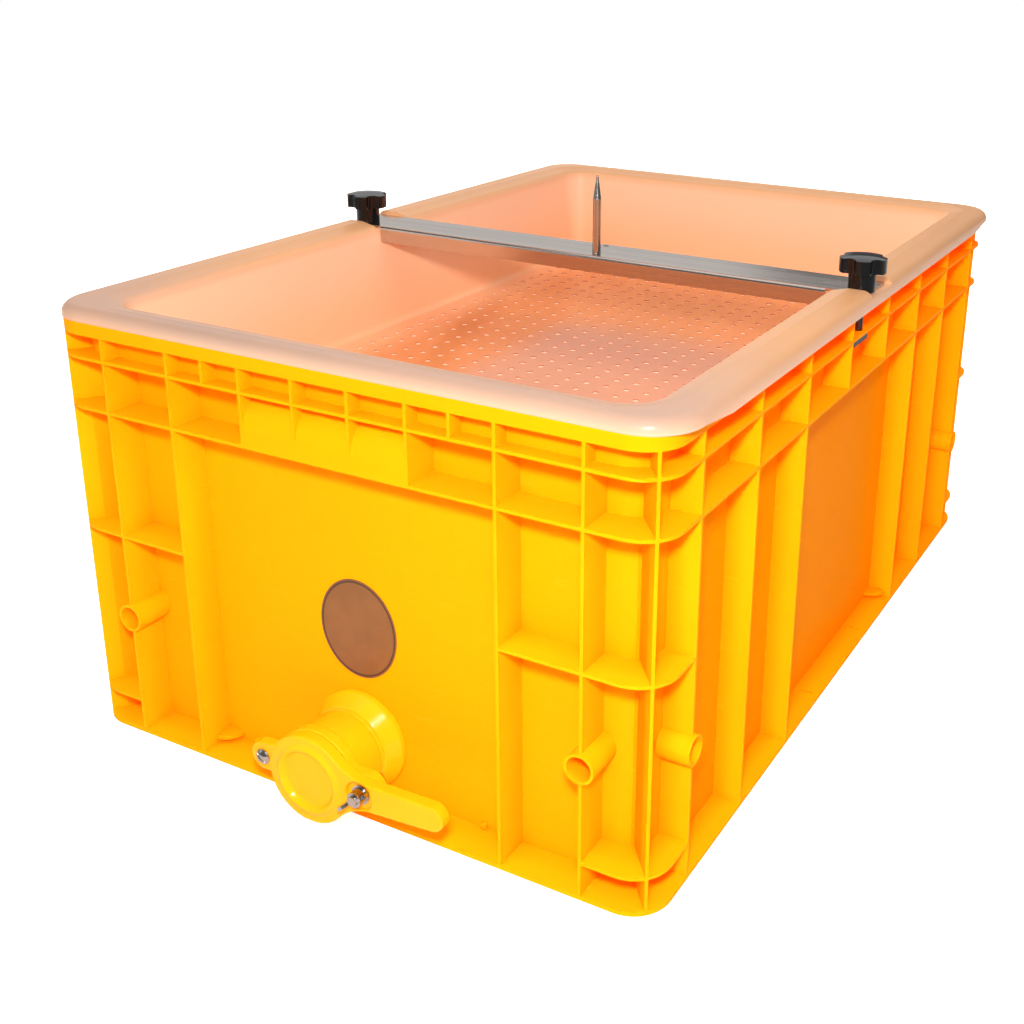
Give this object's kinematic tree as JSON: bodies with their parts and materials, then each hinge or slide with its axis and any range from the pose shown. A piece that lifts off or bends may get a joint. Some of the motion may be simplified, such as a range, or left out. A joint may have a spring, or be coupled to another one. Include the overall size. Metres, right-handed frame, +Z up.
{
  "type": "uncapping tank",
  "caption": "Ribbed rectangular crate with a perforated drain tray, a clamped cross bar with a frame spike, and a swing honey gate for uncapping combs.",
  "frame": {"origin": "middle of the base, on the surface that the tank stands on", "axes": "+Z up, -Y out of the front where the honey gate is, +X to the right seen from the front"},
  "size_m": [0.435, 0.6694, 0.3423],
  "materials": {
    "crate": "semi-gloss yellow moulded plastic",
    "tray": "milky satin plastic",
    "sheet_steel": "bright rolled stainless steel",
    "knob": "glossy black",
    "fastener": "bright zinc plate",
    "gasket": "matt black rubber",
    "label": "plain brown sticker"
  },
  "bodies": {
    "tank": {"tank": "crate", "gate_body": "crate", "gate_gasket": "gasket", "gate_lock_nut": "crate", "pivot_bolt": "fastener", "pivot_washer": "fastener", "stop_screw": "fastener", "stop_nut": "fastener", "label": "label"},
    "tray": {"drain_tray": "tray", "drain_floor": "tray"},
    "bar": {"cross_bar": "sheet_steel", "spike": "sheet_steel"},
    "knob_left": {"knob_left": "knob", "stud_left": "fastener"},
    "knob_right": {"knob_right": "knob", "stud_right": "fastener"},
    "clamp_left": {"clamp_plate_left": "sheet_steel"},
    "clamp_right": {"clamp_plate_right": "sheet_steel"},
    "gate_lever": {"gate_lever": "crate"},
    "wing_nut": {"wing_nut": "fastener"}
  },
  "joints": [
    {"name": "tray_lift", "type": "slide", "parent": "tank", "child": "tray", "axis": [0, 0, 1], "range_m": [0, 0.12]},
    {"name": "bar_lift", "type": "slide", "parent": "tray", "child": "bar", "axis": [0, 0, 1], "range_m": [0, 0.06]},
    {"name": "knob_left_turn", "type": "hinge", "parent": "bar", "child": "knob_left", "pos_m": [-0.2, -0.012, 0.3], "axis": [0, 0, 1], "range_deg": [0, 900]},
    {"name": "clamp_left_travel", "type": "slide", "parent": "tank", "child": "clamp_left", "axis": [0, 0, 1], "range_m": [-0.0025, 0]},
    {"name": "knob_right_turn", "type": "hinge", "parent": "bar", "child": "knob_right", "pos_m": [0.204, -0.012, 0.3], "axis": [0, 0, 1], "range_deg": [0, 900]},
    {"name": "clamp_right_travel", "type": "slide", "parent": "tank", "child": "clamp_right", "axis": [0, 0, 1], "range_m": [-0.0025, 0]},
    {"name": "gate_swing", "type": "hinge", "parent": "tank", "child": "gate_lever", "pos_m": [0.03645, -0.3392, 0.03944], "axis": [0, 1, 0], "range_deg": [0, 80]},
    {"name": "wing_nut_turn", "type": "hinge", "parent": "tank", "child": "wing_nut", "pos_m": [0.03645, -0.346, 0.03944], "axis": [0, -1, 0], "continuous": true}
  ],
  "couplings": [
    {"joint": "knob_left_turn", "follows": "clamp_left_travel", "rad_per_m": -6283.2},
    {"joint": "knob_right_turn", "follows": "clamp_right_travel", "rad_per_m": -6283.2}
  ]
}
